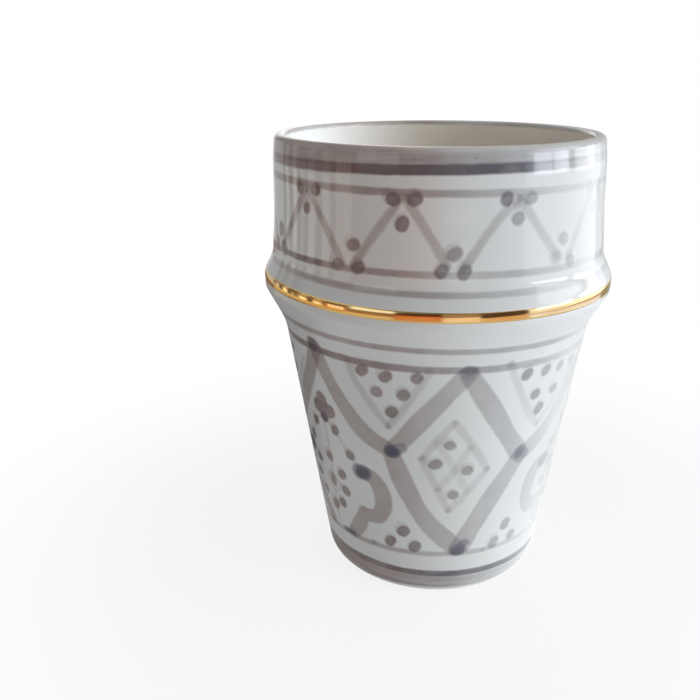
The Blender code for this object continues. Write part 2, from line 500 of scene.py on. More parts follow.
for height, width, rise, strength, follows in RINGS:
    lifted = (1.0 - follows) * collar_rise(around, collar_radius, height * MM) / MM
    lifted = lifted + rim_lean(around, height * MM) / MM
    middle = run_at(height - lifted + rise * np.sin(around) + RING_SWAY * slow_wave(6))
    half = width / 2 * (1.0 + RING_SWELL * slow_wave(9))
    edge = np.abs(outer_run[:, None] - middle) - half
    layer = layers["rings"]
    closer = edge < layer.edge
    layer.edge = np.minimum(edge, layer.edge)
    load = strength * (1.0 + RING_CLOUD * slow_wave(7))
    for ring, degrees, spread, added in TOUCHES:
        if ring == height:
            load = load * (1.0 + added * np.exp(-((front_turn - degrees) / spread) ** 2))
    layer.load = np.where(closer, load, layer.load)

wash_lean = rim_lean(around, LIP_WASH_FROM * MM) / MM
lip_start = run_at(LIP_WASH_FROM + LIP_WASH_RISE * np.sin(around) - wash_lean)
lip_end = outer_run[lip_row] + LIP_WASH_OVER
foot_start = run_at(FOOT_WASH_FROM + FOOT_WASH_SWAY * slow_wave(5))
foot_end = run_at(FOOT_WASH_TO)
lip_edge = np.maximum(lip_start - outer_run[:, None], outer_run[:, None] - lip_end)
foot_edge = np.maximum(foot_start - outer_run[:, None], outer_run[:, None] - foot_end)
wash = layers["wash"]
wash.edge = np.minimum(lip_edge, foot_edge)
# The foot wash is paler towards the window, at +X, and darker at the left: partly a thinner wash, partly
# painted highlight and shade.
foot_load = FOOT_WASH_LOAD + FOOT_WASH_LOAD_RISE * np.sin(around)
wash.load = np.where(lip_edge < foot_edge, LIP_WASH_LOAD, foot_load) * (1.0 + WASH_CLOUD * slow_wave(9))
print("rings:", len(RINGS))

# %% [markdown]
# ## The zigzag on the mouth
# Ten peaks run round the mouth between two rings. Every turn of the line has three dabs: a pair on the
# ring and one in the angle. The peaks in front are placed one by one from the photograph, and those
# behind are spaced nearly evenly, because a painter divides the cup by eye.

# %% Paint the zigzag
PEAKS = [-50.0, -15.5, 19.0, 53.0] + [53.0 + 36.7 * step for step in range(1, 7)]
FRONT_ZIGZAG = [
    [(-66, 86.5), (-59, 93), (-50.8, 100.6)],
    [(-49.2, 100.6), (-41.2, 93), (-34.8, 86.5)],
    [(-31, 86.5), (-25, 92.5), (-16.4, 100.4)],
    [(-15, 100.4), (-8.5, 93.7), (-2.5, 87)],
    [(2, 86.5), (9, 93.3), (14.3, 97.5), (18.6, 100)],
    [(19.4, 99.4), (27, 92.6), (33.5, 87)],
    [(38, 86.5), (44, 93), (52, 100.3)],
]
FRONT_DABS = [
    (-53.4, 100.9), (-46.0, 100.9), (-50.2, 96.9), (-18.7, 100.2), (-12.3, 100.2), (-15.9, 95.4),
    (18.5, 95.9), (-36.7, 86.2), (-29.4, 86.0), (-31.3, 90.6),
    (-4.3, 86.1), (2.3, 85.8), (-0.6, 89.5), (33.1, 86.9), (39.2, 85.7), (35.9, 90.7),
    (-68.0, 91.0), (-65.5, 87.0), (-71.5, 87.2), (49.4, 100.2), (56.6, 100.0), (53.0, 95.6),
    (14.6, 99.9), (22.6, 99.7),
]
ZIGZAG_HALF = 0.95
ZIGZAG_LOAD = 0.47
DAB_RADIUS = 1.48
DAB_LOAD = 0.75
# The strength of the dabs that are paler or darker than the rest.
ODD_DABS = {
    (33.1, 86.9): 0.35, (-31.3, 90.6): 0.64, (-0.6, 89.5): 0.66, (14.6, 99.9): 0.92, (22.6, 99.7): 0.86,
}
BRUSH_TAIL = [(17.9, 98.2), (18.4, 99.2), (18.8, 100.0)]


def loose_dabs(places):
    """Dabs near the given places, each moved by its own small step."""
    for angle, height in places:
        dot(angle + draw.uniform(-0.5, 0.5), height + draw.uniform(-0.3, 0.3), DAB_RADIUS, DAB_LOAD)


for index, points in enumerate(FRONT_ZIGZAG):
    layer = ("thin_rising", "thin_falling")[index % 2]
    stroke(layer, points, ZIGZAG_HALF, ZIGZAG_LOAD * draw.uniform(0.92, 1.08))
for angle, height in FRONT_DABS:
    dot(angle, height, DAB_RADIUS, ODD_DABS.get((angle, height), DAB_LOAD))
stroke("dots", BRUSH_TAIL, 0.65, 0.42)

behind = PEAKS[3:] + [PEAKS[0] + 360.0]
for peak, following in zip(behind[:-1], behind[1:]):
    valley = (peak + following) / 2 + draw.uniform(-1.0, 1.0)
    falling = [(peak + 3, 99.3), ((peak + valley) / 2, 93), (valley - 3.5, 86.6)]
    stroke("thin_falling", falling, ZIGZAG_HALF, ZIGZAG_LOAD)
    loose_dabs([(valley - 3.5, 86.1), (valley + 3.5, 86.1), (valley, 90.4)])
    if following < behind[-1]:
        rising = [(valley + 3.5, 86.6), ((valley + following) / 2, 93.2), (following - 2.5, 99.6)]
        stroke("thin_rising", rising, ZIGZAG_HALF, ZIGZAG_LOAD)
        loose_dabs([(following - 3.7, 100.4), (following + 3.7, 100.3), (following, 95.8)])
print("peaks:", len(PEAKS))

# %% [markdown]
# ## The lattice on the body
# Below the collar, broad strokes make a diamond, then an arch, three times round. Each diamond holds a
# checked rhombus with four dabs. Two triangles of dabs hang from the ring above it, and three dabs stand
# on the ring below at each side. Coordinates are degrees from the front and millimetres up. The first
# repeat follows the photograph, and the two behind it are loosened.

# %% Paint the lattice
REPEATS = [0.0, 121.3, 240.6]
BROAD_LOAD = 0.53
# Each broad stroke: layer, half width, points.
BROAD = [
    ("rising", 2.2, [(-21.5, 42.6), (-8, 53), (5.5, 63)]),
    ("rising", 2.55, [(7.3, 15.4), (19.2, 28.5), (31.3, 40)]),
    ("falling", 2.3, [(5.8, 62.8), (18, 51), (26, 43.7), (31.5, 39.5)]),
    ("falling", 2.4, [(-22, 42), (-16.5, 32.8), (-8, 23.5), (6.0, 15)]),
    ("falling", 2.3, [(-53, 65.5), (-49, 60), (-42, 52.8), (-33, 46.3), (-22.5, 42.6)]),
    ("rising", 2.3, [(31.5, 39.7), (42, 43.5), (52, 50.5), (61, 58), (67.5, 65)]),
]
NARROW_HALF = 0.95
NARROW = [
    ("thin_falling", [(-36.5, 64), (-34.5, 60), (-29, 54.5), (-22.5, 49)], 0.26),
    ("thin_rising", [(-22.5, 49), (-15, 55.5), (-7, 64)], 0.26),
    ("thin_falling", [(20, 64.5), (25, 58), (31, 51.5), (37.3, 46.8)], 0.26),
    ("thin_rising", [(37.3, 46.8), (46, 52), (57, 60)], 0.20),
    ("thin_rising", [(-9.8, 41.2), (-4, 46.5), (2, 51)], 0.27),
    ("thin_falling", [(2, 51), (9, 44.8), (16.3, 37.8)], 0.27),
    ("thin_falling", [(-9.8, 41.2), (-4.5, 34), (1.3, 26.7)], 0.25),
    ("thin_rising", [(1.3, 26.7), (8.5, 31.7), (16.3, 37.8)], 0.24),
    ("thin_rising", [(-3.2, 33), (3, 38.3), (8.5, 44)], 0.20),
    ("thin_falling", [(-4.2, 46), (2, 39.5), (8.8, 32)], 0.17),
]
LATTICE_DABS = [
    (-31, 62.5), (-22.3, 61.8), (-11.4, 62), (-26, 57.6), (-16.3, 57.6), (-20.8, 53),
    (0.65, 45), (-4.6, 39.9), (8.0, 37.9), (2.9, 31.3),
]
RIGHT_DABS = [(27.5, 61), (36.5, 60.8), (44.9, 60.4), (33.4, 55.2), (43.6, 54.9), (36.7, 51)]
FOOT_DABS = [(-18.4, 19.8), (-24.9, 16), (-13.2, 15.5), (30.2, 19.8), (24.8, 15), (35.2, 15.5)]
# Each group of dabs: places, radius, strength, extra height.
DAB_GROUPS = [(LATTICE_DABS, 1.46, 0.70, 0.0), (RIGHT_DABS, 1.46, 0.88, 0.0), (FOOT_DABS, 1.5, 0.72, 0.3)]
# One more dab, which only the first repeat has.
EDGE_DAB = (53.75, 60.2, 1.5, 0.6)
# Each pool: degrees, height, radius, strength, stretch. The cores are the darkest part of a pool.
LATTICE_BLOTS = [
    (-21.3, 42.5, 1.7, 0.60, 0.5), (-18.0, 43.6, 1.4, 0.34, 0.4), (30.9, 40.2, 1.7, 0.52, 0.3),
    (33.9, 39.5, 1.3, 0.28, 0.2), (6.6, 14.7, 1.7, 0.66, 0.7), (9.2, 16.6, 1.25, 0.58, 0.2),
    (5.6, 62.6, 1.0, 0.26, 0.6), (5.6, 63.9, 0.7, 0.36, 2.6), (-53.0, 65.2, 1.5, 0.36, 0.5),
    (-34.0, 13.9, 0.75, 0.34, 0.3), (19.5, 13.4, 0.6, 0.30, 0.3), (20.0, 64.2, 0.9, 0.20, 0.3),
    (-22.6, 49.0, 0.4, 0.40, 0.1), (-9.8, 41.6, 0.7, 0.20, 0.2), (16.3, 37.8, 0.6, 0.18, 0.2),
    (8.5, 44.0, 0.7, 0.14, 0.2), (-3.4, 32.9, 0.6, 0.20, 0.2), (1.0, 26.6, 0.55, 0.18, 0.2),
]
LATTICE_CORES = [
    (-21.2, 42.3, 1.25, 0.72, 0.4), (30.8, 40.2, 0.9, 0.44, 0.1), (6.4, 14.4, 1.0, 0.52, 0.5),
    (5.9, 62.8, 0.6, 0.14, 0.3), (-52.8, 64.6, 0.8, 0.40, 0.3),
]
HIDDEN_DRIFT = 0.5


def drifted(points, shift):
    """Points moved round to a repeat. The repeats behind are loosened, each point by its own small step."""
    moved = np.asarray(points, dtype=float)
    loose = HIDDEN_DRIFT * draw.uniform(-1.0, 1.0, moved.shape) if shift else 0.0
    return moved + loose + (shift, 0.0)


for shift in REPEATS:
    for layer, half, points in BROAD:
        stroke(layer, drifted(points, shift), half, BROAD_LOAD * draw.uniform(0.95, 1.05), (0.95, 0.95))
    for layer, points, load in NARROW:
        stroke(layer, drifted(points, shift), NARROW_HALF, load)
    for places, radius, load, tall in DAB_GROUPS:
        for angle, height in drifted(places, shift):
            dot(angle, height, radius, load, tall=tall)
    for layer, pools in (("blots", LATTICE_BLOTS), ("cores", LATTICE_CORES)):
        for angle, *pool in pools:
            blot(layer, angle + shift, *pool)
dot(*EDGE_DAB)
print("broad strokes:", len(BROAD) * len(REPEATS))

# %% [markdown]
# ## The motif under each arch
# Under an arch a four-lobed bud stands on a stem, with two beaded lines falling from it like
# shoulders, a ring of dabs lower down, and a scroll at each side that runs to the foot. It is drawn
# once as a right half, and mirrored about the arch's axis for the left.

# %% Paint the arches
ARCH_AXES = [-55.0, 68.4, 186.7]
# Degrees here are counted from the arch's axis.
SCROLL_UP = [(19, 34.5), (24.2, 33.7), (27.4, 30.4), (27.8, 26), (24.6, 22.7), (18.6, 22.2)]
SCROLL_DOWN = [(17.8, 22.6), (13.4, 18), (8.8, 14.6)]
BEADED_LINE = [(1, 46.5), (6.5, 44), (13.5, 38.4), (19, 34.5)]
BEADS = [(6.75, 43.8), (13.6, 38.3)]
BUD = [(1.0, 51.2, 2.1), (-2.8, 48.8, 1.8), (5.2, 48.6, 1.8), (1.2, 49.0, 2.5), (1, 46.3, 1.5)]
STEM = [(0.5, 46), (0, 36), (-0.5, 28), (-1.5, 20), (-2, 14.5)]
RING_DABS = [
    (-0.5, 35), (6.6, 31.3), (7.7, 26.7), (3.7, 22.3), (-2.6, 20.5), (-10.5, 23), (-14.6, 27.4), (-11, 32.2),
]
WREATH_PLACE, WREATH_REACH = (-1.0, 27.5), (4.4, 2.5)
HEART = (-0.8, 28.0)
# Half width and strength of each kind of stroke, then radius and strength of each kind of dab.
SCROLL_BRUSH, SCROLL_TAIL_BRUSH = (2.2, 0.54), (2.024, 0.54)
BEADED_BRUSH, STEM_BRUSH, WREATH_BRUSH = (0.5, 0.25), (0.45, 0.26), (0.55, 0.17)
BEAD_DAB, RING_DAB, HEART_DAB = (1.45, 0.7), (1.55, 0.68), (1.5, 0.66)
BUD_LOAD = 0.76
# Each pool: layer, degrees, height, radius, strength, stretch. Those on the scrolls are mirrored.
SCROLL_POOLS = [("blots", 18.7, 34.5, 2.25, 0.56, 1.0), ("cores", 19.0, 34.3, 1.5, 0.62, 0.7)]
AXIS_POOLS = [
    ("blots", 5.5, 14.1, 0.85, 0.60, 3.0), ("cores", 5.0, 14.1, 0.6, 0.40, 1.4),
    ("blots", 1.0, 46.3, 1.4, 0.55, 0.4),
]

turn = np.linspace(0.0, math.tau, 13)
wreath = np.stack([np.cos(turn), np.sin(turn)], axis=-1) * WREATH_REACH + WREATH_PLACE


def placed(points, axis, side=1.0):
    """Points of the motif moved to an arch's axis, and mirrored about it for side -1."""
    return np.array(points) * (side, 1.0) + (axis, 0.0)


for axis in ARCH_AXES:
    for side, layer in ((1.0, "falling"), (-1.0, "rising")):
        stroke(layer, placed(SCROLL_UP, axis, side), *SCROLL_BRUSH)
        stroke(layer, placed(SCROLL_DOWN, axis, side), *SCROLL_TAIL_BRUSH)
        stroke("thin_falling", placed(BEADED_LINE, axis, side), *BEADED_BRUSH)
        for bead in placed(BEADS, axis, side):
            dot(*bead, *BEAD_DAB)
        for pool_layer, angle, *pool in SCROLL_POOLS:
            blot(pool_layer, axis + side * angle, *pool)
    for pool_layer, angle, *pool in AXIS_POOLS:
        blot(pool_layer, axis + angle, *pool)
    for angle, height, radius in BUD:
        dot(axis + angle, height, radius, BUD_LOAD, halo=False)
    stroke("thin_rising", placed(STEM, axis), *STEM_BRUSH)
    for dab in placed(RING_DABS, axis):
        dot(*dab, *RING_DAB)
    stroke("thin_falling", placed(wreath, axis), *WREATH_BRUSH)
    dot(*placed(HEART, axis), *HEART_DAB, tall=0.4)
print("arches:", len(ARCH_AXES))

# %% [markdown]
# ## Paler towards the window, darker at the front left
# The paint is paler on the side towards the window, most of all on the mouth: partly the brush carried
# less colour there, and partly it is a painted highlight for the window's light on the glaze. At the
# front left it is a little darker, as painted shade. One factor for the whole cup would miss that, and a
# factor for every stroke would be tedious. So each layer's strength is scaled by the angle, with a row of
# factors each for the foot, the body, the band of the zigzag, the rim and the lip, which blend by height.

# %% Store the layers on the glaze
# Factors below 1, towards the window and along the front of the lip, are partly painted highlight; those
# above 1 at the front left are painted shade.
THIN_TURN = [-180, -110, -70, -40, -16, -6, 5, 25, 38, 50, 65, 110, 180]
# A row each for the foot, the body, the band of the zigzag, the rim and the lip.
PAINT_THINNING_AND_PAINTED_LIGHT = np.array([
    [0.90, 0.90, 0.85, 0.91, 1.04, 1.04, 1.02, 0.93, 0.82, 0.65, 0.65, 0.85, 0.90],
    [0.85, 0.95, 1.00, 1.06, 1.05, 0.92, 0.84, 0.70, 0.48, 0.18, 0.35, 0.75, 0.85],
    [0.85, 0.95, 1.00, 1.02, 1.08, 0.99, 0.84, 0.54, 0.35, 0.12, 0.30, 0.75, 0.85],
    [0.85, 0.90, 0.80, 0.90, 1.20, 1.10, 1.03, 0.95, 0.65, 0.15, 0.25, 0.90, 0.85],
    [0.90, 0.95, 0.90, 0.92, 0.78, 0.70, 0.64, 0.60, 0.55, 0.50, 0.60, 0.90, 0.90],
])
# The heights between which a row holds, or gives way to the next.
THIN_LEVELS = [9.0, 12.0, 72.0, 80.0, 103.0, 104.5, 107.8, 109.4]
INSIDE_PAST_LIP = 6

thinning_and_light_rows = np.stack([np.interp(front_turn, THIN_TURN, factors) for factors in PAINT_THINNING_AND_PAINTED_LIGHT])
row_place = np.interp(outer_height, THIN_LEVELS, [0, 1, 1, 2, 2, 3, 3, 4])
below = np.minimum(row_place.astype(int), len(PAINT_THINNING_AND_PAINTED_LIGHT) - 2)
paint_thinning_and_painted_light = thinning_and_light_rows[below] + (row_place - below)[:, None] * (thinning_and_light_rows[below + 1] - thinning_and_light_rows[below])
first_face_row = len(back) - 1


def store(layer):
    """Writes a layer's two numbers to the glaze's points; everything but the outside stays far and blank."""
    # The strengths carry the painted highlight and painted shade of the angle factors.
    for kind, values, blank in (("edge", layer.edge, FAR), ("load", layer.load * paint_thinning_and_painted_light, 0.0)):
        whole = np.full((glaze_rings, COLUMNS), blank)
        whole[first_face_row:first_face_row + len(values)] = np.clip(values, -FAR, FAR)
        flat = np.concatenate([whole.ravel(), [blank, blank]]).astype(np.float32)
        attribute = glaze.data.attributes.new(f"{layer.name}_{kind}", "FLOAT", "POINT")
        attribute.data.foreach_set("value", flat)


for layer in layers.values():
    store(layer)
# Marks the inside of the cup, where the glaze is given a painted shade.
inside_rings = np.arange(glaze_rings) > first_face_row + lip_row + INSIDE_PAST_LIP
inside_flat = np.concatenate([np.repeat(inside_rings, COLUMNS), [False, True]]).astype(np.float32)
glaze.data.attributes.new("inside", "FLOAT", "POINT").data.foreach_set("value", inside_flat)
print("painted points:", int((np.min([layer.edge for layer in layers.values()], axis=0) < 0).sum()))

# %% [markdown]
# ## The gold band
# Gold lustre is brushed on last, as a film thinner than paper, on the crest of the collar. Its edges
# wander a little, and it sits lower on the right. The glaze could be coloured gold there, but a film has
# an edge that catches the light. It is a grid of its own: one parameter runs across the band and the
# other round it, and the radius is read from the outline at that height.

# %% Lay the gold
BAND_LOW, BAND_HIGH = 75.85 * MM, 78.1 * MM
BAND_TILT = -0.54 * MM
LOW_SWAY, HIGH_SWAY = 0.06 * MM, 0.08 * MM
BAND_ROWS = 22
GOLD_ROW = 0.05 * MM
TUCK = 0.12 * MM
COLLAR_LOW, COLLAR_HIGH, COLLAR_INNER = 70 * MM, 84 * MM, 39.5 * MM

finely = OUTLINE.copy()
finely[:, 3] = GOLD_ROW
collar = rounded_outline(finely)
at_height = (collar[:, 1] > COLLAR_LOW) & (collar[:, 1] < COLLAR_HIGH)
collar = collar[at_height & (collar[:, 0] > COLLAR_INNER)]
low = BAND_LOW + BAND_TILT * np.sin(around) + LOW_SWAY * slow_wave(9)
high = BAND_HIGH + BAND_TILT * np.sin(around) + HIGH_SWAY * slow_wave(11)
across_band = np.linspace(0.0, 1.0, BAND_ROWS)[:, None]
crown = GOLD_FILM * np.sqrt(np.clip(1.0 - (2 * across_band - 1.0) ** 4, 0.0, 1.0))
band_height = low + across_band * (high - low)
on_glaze = np.interp(band_height, collar[:, 1], collar[:, 0])
outside = turned(on_glaze + crown, band_height)
inside = turned(on_glaze - TUCK, band_height)[::-1]
band_points = np.concatenate([outside, inside]).reshape(-1, 3)
no_triangles = np.zeros((0, 3), dtype=int)
gold = mesh_piece("gold_film", band_points, ring_quads(2 * BAND_ROWS, closed=True), no_triangles)
print("gold from", round(float(low.min()) / MM, 2), "to", round(float(high.max()) / MM, 2), "mm")

# %% [markdown]
# ## The clay
# Only the foot shows the clay, where the glaze was wiped off so that the cup wouldn't stick to the
# kiln shelf. It is the same outline once more, bare at the foot and moved in under the glaze above.

# %% Turn the clay
CLAY_INSET = 0.46 * MM
under_glaze = inset(face, CLAY_INSET)[kept_rows]
clay = turned_piece("clay_foot_and_wall", np.concatenate([finished[:first_glazed], under_glaze]))
print("clay rows:", first_glazed + len(under_glaze))

# %% [markdown]
# ## Writing materials as sums
# A material is a web of nodes, and most of them do arithmetic. A small class lets the arithmetic be
# written as Python: adding two wires makes a Math node, and the result is a wire again. Every other
# node comes from one method that takes its kind, its settings and what goes into its sockets.

# %% Helpers for materials
class Wire:
    """One output of a node. Arithmetic on wires adds Math nodes to the same material."""

    def __init__(self, finish, socket):
        self.finish = finish
        self.socket = socket

    def math(self, operation, *values):
        """A Math node that does an operation on wires or numbers."""
        return self.finish.node("Math", {"operation": operation}, dict(enumerate(values)))

    def __add__(self, other):
        return self.math("ADD", self, other)

    __radd__ = __add__

    def __sub__(self, other):
        return self.math("SUBTRACT", self, other)

    def __rsub__(self, other):
        return self.math("SUBTRACT", other, self)

    def __mul__(self, other):
        return self.math("MULTIPLY", self, other)

    __rmul__ = __mul__

    def ramp(self, start, end, low=0.0, high=1.0):
        """A smooth step from low, where this wire is at start, to high, where it is at end."""
        sockets = {"Value": self, "From Min": start, "From Max": end, "To Min": low, "To Max": high}
        return self.finish.node("MapRange", {"interpolation_type": "SMOOTHSTEP"}, sockets)


class Finish:
    """A node tree with one way to add a node."""

    def __init__(self, name, tree):
        self.name = name
        self.tree = tree
        tree.nodes.clear()

    def node(self, kind, settings=None, sockets=None, output=0):
        """Adds a node, sets it, fills its sockets with numbers or wires, and returns one of its outputs."""
        made = self.tree.nodes.new("ShaderNode" + kind)
        for name, value in (settings or {}).items():
            setattr(made, name, value)
        for name, value in (sockets or {}).items():
            if isinstance(value, Wire):
                self.tree.links.new(value.socket, made.inputs[name])
            else:
                made.inputs[name].default_value = value
        return Wire(self, made.outputs[output] if len(made.outputs) else None)

    def place(self, scale=(1.0, 1.0, 1.0)):
        """Object coordinates, stretched."""
        where = self.node("TexCoord", output="Object")
        return self.node("Mapping", None, {"Vector": where, "Scale": scale})

    def noise(self, place, scale, detail=2.0, rough=0.5):
        """Soft noise with about one blob in each 1 / scale metres."""
        sockets = {"Vector": place, "Scale": scale, "Detail": detail, "Roughness": rough}
        return self.node("TexNoise", None, sockets)

    def attribute(self, name, output="Fac"):
        """What the mesh's points store under a name."""
        return self.node("Attribute", {"attribute_name": name}, output=output)

    def blend(self, factor, first, second):
        """Two colours mixed by a factor."""
        sockets = {0: factor, 6: first, 7: second}
        return self.node("Mix", {"data_type": "RGBA"}, sockets, output=2)

    def bump(self, height, strength, distance):
        """Normals tilted as if the surface rose by the distance where the height is 1."""
        sockets = {"Height": height, "Strength": strength, "Distance": distance}
        return self.node("Bump", None, sockets)

    def end(self, sockets, kind="BsdfPrincipled", target="Material"):
        """Ends the tree with a shader of a kind."""
        shader = self.node(kind, None, sockets)
        self.node("Output" + target, None, {"Surface": shader})
        print(self.name, "has", len(self.tree.nodes), "nodes")


def new_material(name):
    """An empty material, and the node tree to fill."""
    material = bpy.data.materials.new(name)
    material.use_nodes = True
    return material, Finish(name, material.node_tree)


def dress(piece, material, node):
    """Gives a finished piece its material and its place in the model."""
    piece.data.materials.append(material)
    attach(piece, "root")
    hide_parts(node)


print("helpers:", ", ".join(name for name in vars(Finish) if name[0] != "_"))

# %% [markdown]
# ## Glaze and brush colour
# The glaze is a cool white with a faint unevenness and dark specks of iron. Inside it is darker and
# creamier, as painted warm shade, and on the mouth band left of the middle it is tinted warm, as a painted
# reflection. The grey is a wash under it, so light passes it twice: overlaps are darker, edges are soft,
# and the colour lies in clouds. It is slate where it lies thick, and from brown at the left to slate at the
# right as a painted tint of warm room light and cool window light. It turns blue where much of it pooled.
# A distance in millimetres becomes coverage by a smooth step, and fine noise added to the distance makes
# the edge ragged like a brush's.

# %% Spread the brush colour
WAVER = 0.35
glaze_material, mix = new_material("painted glaze")
still = mix.place()
fine = mix.noise(still, 900.0, 2.0) - 0.5
broad = mix.noise(still, 260.0, 2.0) - 0.5
clouds = mix.noise(still, 170.0, 3.0, 0.6)
streaks = mix.noise(mix.place((1.0, 1.0, 14.0)), 45.0, 3.0, 0.6)


def coverage(name, soft, ragged, pool):
    """How much colour a layer leaves: its strength inside its ragged edge, and a little more along it."""
    away = mix.attribute(f"{name}_edge") + ragged * fine + WAVER * broad
    inside = away.ramp(-soft, soft, 1.0, 0.0)
    cloud = clouds.ramp(0.25, 0.75, 0.9, 1.1)
    if pool:
        cloud = cloud + away.ramp(-0.75, -0.15, -pool / 2, pool)
    return inside * mix.attribute(f"{name}_load") * cloud


# Each layer: softness and raggedness of its edge, in millimetres, and the colour gathered along it.
BRUSHES = [
    ("rising", 0.38, 0.25, 0.0), ("falling", 0.38, 0.25, 0.0), ("thin_rising", 0.5, 0.3, 0.0),
    ("thin_falling", 0.5, 0.3, 0.0), ("rings", 0.34, 0.1, 0.0), ("dots", 0.36, 0.3, 0.05),
    ("halos", 0.45, 0.4, 0.1),
]
bare = 1.0
for name, soft, ragged, pool in BRUSHES:
    bare = (1.0 - coverage(name, soft, ragged, pool)) * bare
wash_cloud = streaks.ramp(0.3, 0.72, 0.8, 1.2)
bare = (1.0 - coverage("wash", 0.35, 0.1, 0.0) * wash_cloud) * bare
blue = 1.0 - (1.0 - coverage("blots", 0.4, 0.3, 0.0)) * (1.0 - coverage("cores", 0.6, 0.4, 0.0))
print("brushes:", len(BRUSHES), "and a wash, with two layers of pooled blue")

# %% Mix the glaze
GLAZE_WHITE = (0.750, 0.758, 0.755, 1.0)
GLAZE_SHADE = (0.70, 0.725, 0.705, 1.0)
GLAZE_PAINTED_REFLECTION = (0.738, 0.706, 0.676, 1.0)
INSIDE_PAINTED_SHADE = (0.728, 0.688, 0.628, 1.0)
BRUSH_BROWN = (0.225, 0.138, 0.123, 1.0)
BRUSH_SLATE = (0.138, 0.135, 0.158, 1.0)
BRUSH_BLUE = (0.055, 0.06, 0.105, 1.0)
SPECK_BROWN = (0.10, 0.085, 0.075, 1.0)
SPECK_STRENGTH = 0.6

spots = mix.node("TexVoronoi", None, {"Vector": still, "Scale": 210.0}, output="Distance")
speck_near = spots.ramp(0.02, 0.05, 1.0, 0.0)
speck_pick = mix.noise(still, 95.0, 1.0).ramp(0.54, 0.57)
shade = mix.noise(still, 38.0, 2.0).ramp(0.35, 0.7, 0.0, 0.5)
sideways = mix.node("SeparateXYZ", None, {"Vector": still}, output="X")
upward = mix.node("SeparateXYZ", None, {"Vector": still}, output="Z")
# A painted warm reflection: the mouth band above the collar, left of the middle, is tinted warm.
warm_reflection_patch = upward.ramp(0.079, 0.084) * sideways.ramp(0.002, -0.010) * sideways.ramp(-0.036, -0.022)
outside_white = mix.blend(warm_reflection_patch, mix.blend(shade, GLAZE_WHITE, GLAZE_SHADE), GLAZE_PAINTED_REFLECTION)
# Inside, the glaze takes a darker, creamier colour: painted warm shade.
white = mix.blend(mix.attribute("inside"), outside_white, INSIDE_PAINTED_SHADE)
dense = bare.ramp(0.4, 0.1, 0.0, 0.35)
# Painted light tint: the paint is brown at the left, under warm room light, and slate at the right, under
# cool window light; it is slate where it lies thick as well.
ink = mix.blend((sideways.ramp(-0.022, 0.026) + dense).ramp(0.0, 1.0), BRUSH_BROWN, BRUSH_SLATE)
grey = mix.blend(1.0 - bare, white, ink)
inked = mix.blend(blue, grey, BRUSH_BLUE)
colour = mix.blend(speck_near * speck_pick * SPECK_STRENGTH, inked, SPECK_BROWN)
skin = mix.noise(still, 330.0, 2.0)
mix.end({
    "Base Color": colour,
    "Roughness": mix.noise(still, 60.0, 2.0).ramp(0.3, 0.7, 0.05, 0.09),
    "Normal": mix.bump(skin, 0.06, 0.0002),
    "IOR": 1.5,
})
dress(glaze, glaze_material, "glaze_coat")

# %% [markdown]
# ## Gold lustre
# Fired lustre is real metal, so all of its colour comes from what it mirrors, and a yellow paint would
# look flat. It is bright, slightly streaked along the brush, and browner where it is thin.

# %% Mix the gold
GOLD = (0.95, 0.70, 0.33, 1.0)
GOLD_DEEP = (0.88, 0.58, 0.22, 1.0)

gold_material, lustre = new_material("gold lustre")
along = lustre.noise(lustre.place((1.0, 1.0, 16.0)), 120.0, 3.0)
thin = lustre.noise(lustre.place(), 70.0, 2.0)
lustre.end({
    "Base Color": lustre.blend(thin.ramp(0.35, 0.7, 0.0, 0.8), GOLD, GOLD_DEEP),
    "Metallic": 1.0,
    "Roughness": along.ramp(0.3, 0.7, 0.07, 0.16),
    "Normal": lustre.bump(thin, 0.05, 0.0004),
})
dress(gold, gold_material, "gold_band")

# %% [markdown]
# ## Bare clay
# The wiped foot is matt and faintly warm, with the fine grain of fired clay. So small a strip needs no
# more than two noises: a fine one for the grain and a broad one for the kiln's uneven fire.

# %% Mix the clay
CLAY_PALE = (0.80, 0.77, 0.72, 1.0)
CLAY_DARK = (0.68, 0.64, 0.58, 1.0)

clay_material, grog = new_material("bare clay")
grain = grog.noise(grog.place(), 1600.0, 3.0, 0.7)
patches = grog.noise(grog.place(), 150.0, 2.0)
grog.end({
    "Base Color": grog.blend((grain * 0.6 + patches * 0.4).ramp(0.4, 0.7), CLAY_PALE, CLAY_DARK),
    "Roughness": grain.ramp(0.3, 0.7, 0.7, 0.9),
    "Normal": grog.bump(grain, 0.25, 0.0002),
})
dress(clay, clay_material, "clay_body")

# %% [markdown]
# ## Floor and background
# The cup stands on a white table in a bright room. More light would make the table white but also wash
# the cup out. So the floor keeps the shadow and fades, for the camera alone, to white away from the cup,
# and the background does the same. The room's own light comes from all sides and is a little warm.

# %% Set the floor and the background
FLOOR_REACH = 4.0
FLOOR_WHITE = (0.86, 0.86, 0.86, 1.0)
PLAIN_WHITE = (1.0, 1.0, 1.0, 1.0)
FADE_START, FADE_END, FADE_LEAST = 0.05, 0.16, 0.84

floor_material, ground = new_material("white table")
apart = ground.node("VectorMath", {"operation": "LENGTH"}, {0: ground.place()}, output="Value")
seen = ground.node("LightPath", output="Is Camera Ray")
matt_floor = ground.node("BsdfDiffuse", None, {"Color": FLOOR_WHITE})
white_floor = ground.node("Emission", None, {"Color": PLAIN_WHITE})
whiteness = seen * apart.ramp(FADE_START, FADE_END, FADE_LEAST, 1.0)
ground.end({0: whiteness, 1: matt_floor, 2: white_floor}, "MixShader")
square = FLOOR_REACH * np.array([(-1, -1, 0), (1, -1, 0), (1, 1, 0), (-1, 1, 0)], dtype=float)
floor = mesh_piece("floor", square, np.array([[0, 1, 2, 3]]), no_triangles)
floor.data.materials.append(floor_material)

